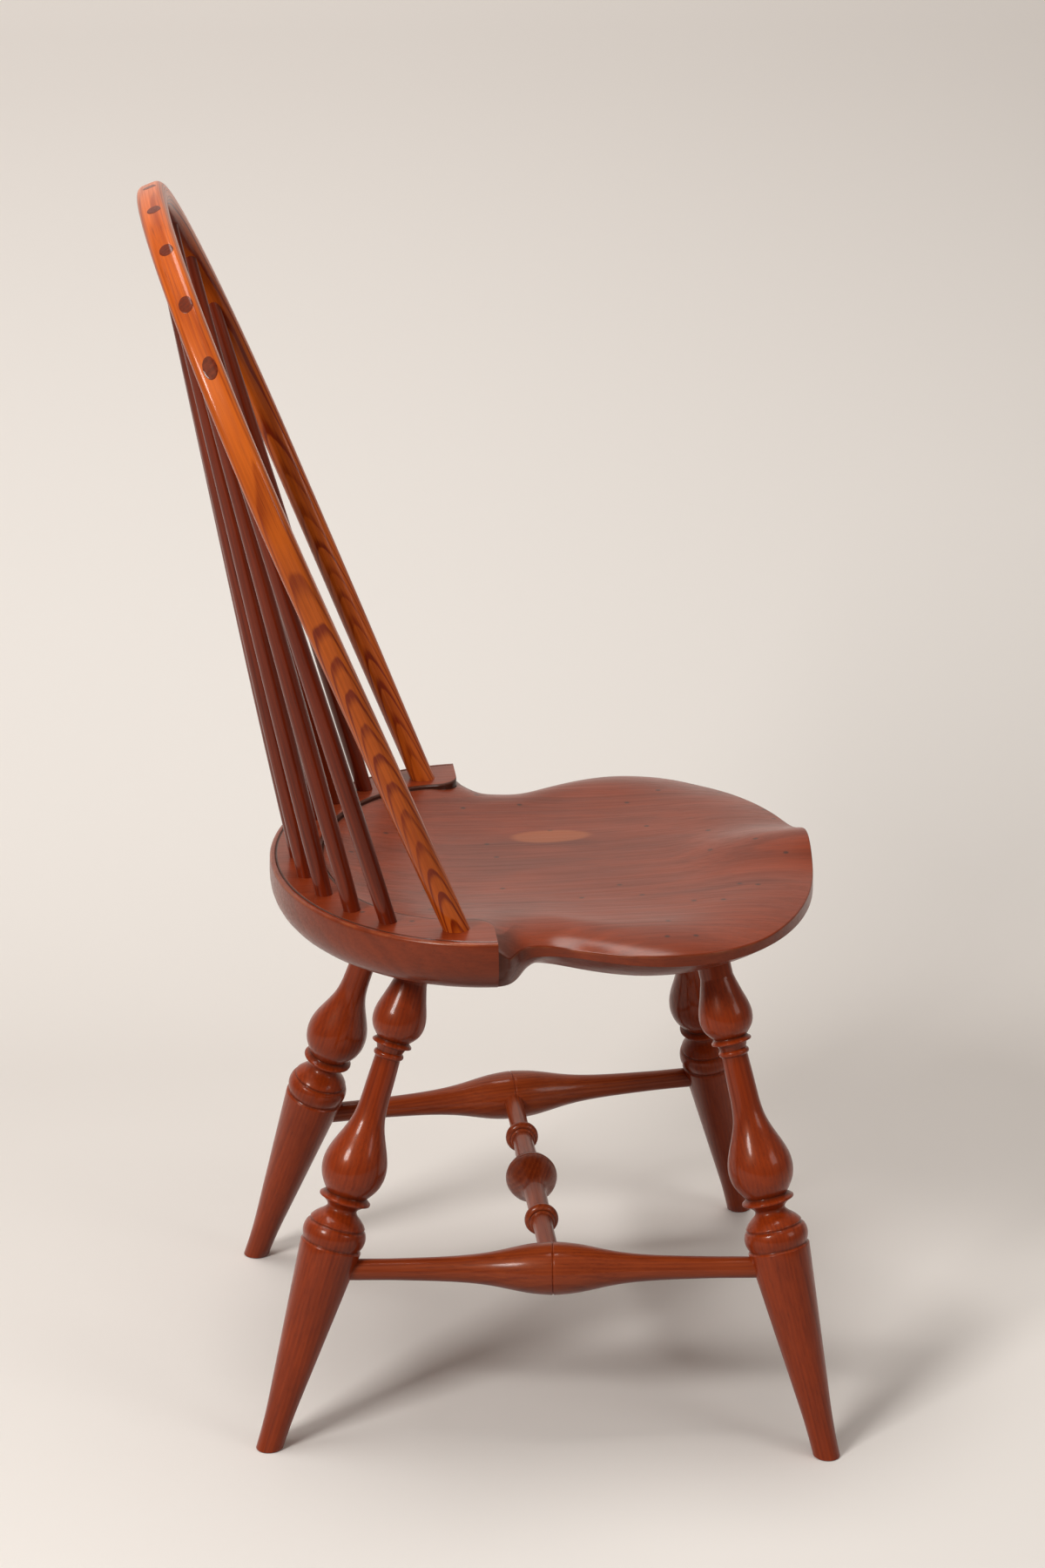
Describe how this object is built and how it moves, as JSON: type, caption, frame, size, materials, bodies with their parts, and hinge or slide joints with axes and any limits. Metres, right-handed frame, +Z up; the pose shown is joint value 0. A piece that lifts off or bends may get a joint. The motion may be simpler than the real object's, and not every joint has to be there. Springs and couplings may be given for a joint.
{
  "type": "bow-back side chair",
  "caption": "Wooden side chair with a carved saddle seat, a bent bow back filled with slender spindles, splayed turned legs and turned stretchers in an H.",
  "frame": {"origin": "on the floor under the middle of the chair's bounding box", "axes": "+Z up, the sitter faces -Y, +X is the sitter's left"},
  "size_m": [0.4828, 0.5312, 0.9855],
  "materials": {
    "seat_wood": "satin red-brown lacquer, worn to a soft sheen in the hollow",
    "bow_wood": "satin golden red-brown lacquer over bold ring-porous grain",
    "wedge_wood": "bare wood, cut flush",
    "spindle_wood": "satin dark red-brown lacquer",
    "leg_wood": "satin orange-brown lacquer, darker in the turned grooves",
    "stretcher_wood": "satin red-brown lacquer"
  },
  "bodies": {
    "root": {"seat": "seat_wood", "bow": "bow_wood", "bow_wedge_left": "wedge_wood", "bow_wedge_right": "wedge_wood", "spindle_middle": "spindle_wood", "spindle_left_1": "spindle_wood", "spindle_left_2": "spindle_wood", "spindle_left_3": "spindle_wood", "spindle_left_4": "spindle_wood", "spindle_right_1": "spindle_wood", "spindle_right_2": "spindle_wood", "spindle_right_3": "spindle_wood", "spindle_right_4": "spindle_wood", "leg_front_left": "leg_wood", "leg_front_right": "leg_wood", "leg_rear_left": "leg_wood", "leg_rear_right": "leg_wood", "side_stretcher_left": "stretcher_wood", "side_stretcher_right": "stretcher_wood", "cross_stretcher": "stretcher_wood"}
  },
  "joints": []
}
